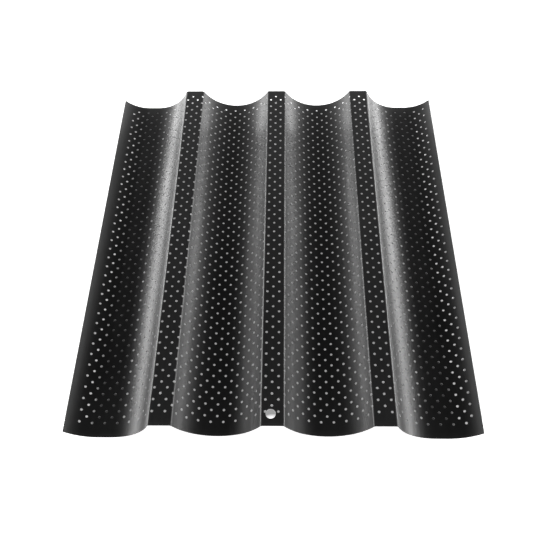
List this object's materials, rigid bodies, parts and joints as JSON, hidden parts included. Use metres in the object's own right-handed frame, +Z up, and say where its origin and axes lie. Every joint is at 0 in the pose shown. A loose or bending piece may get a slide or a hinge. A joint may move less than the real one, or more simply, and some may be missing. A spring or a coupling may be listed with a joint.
{
  "type": "baguette tray",
  "caption": "Perforated baguette tray: one thin coated steel sheet pressed into round-bottomed wells side by side, with flat ridges between them, upturned side lips and a hang hole.",
  "frame": {"origin": "on the surface that the tray rests on, under the middle of the tray", "axes": "+X across the wells to the right, +Y along the wells from the edge with the hang hole to the other, +Z up"},
  "size_m": [0.33, 0.384, 0.024],
  "materials": {
    "coating": "semi-gloss black non-stick coating on thin steel sheet"
  },
  "bodies": {
    "root": {"tray_sheet": "coating"}
  },
  "joints": []
}
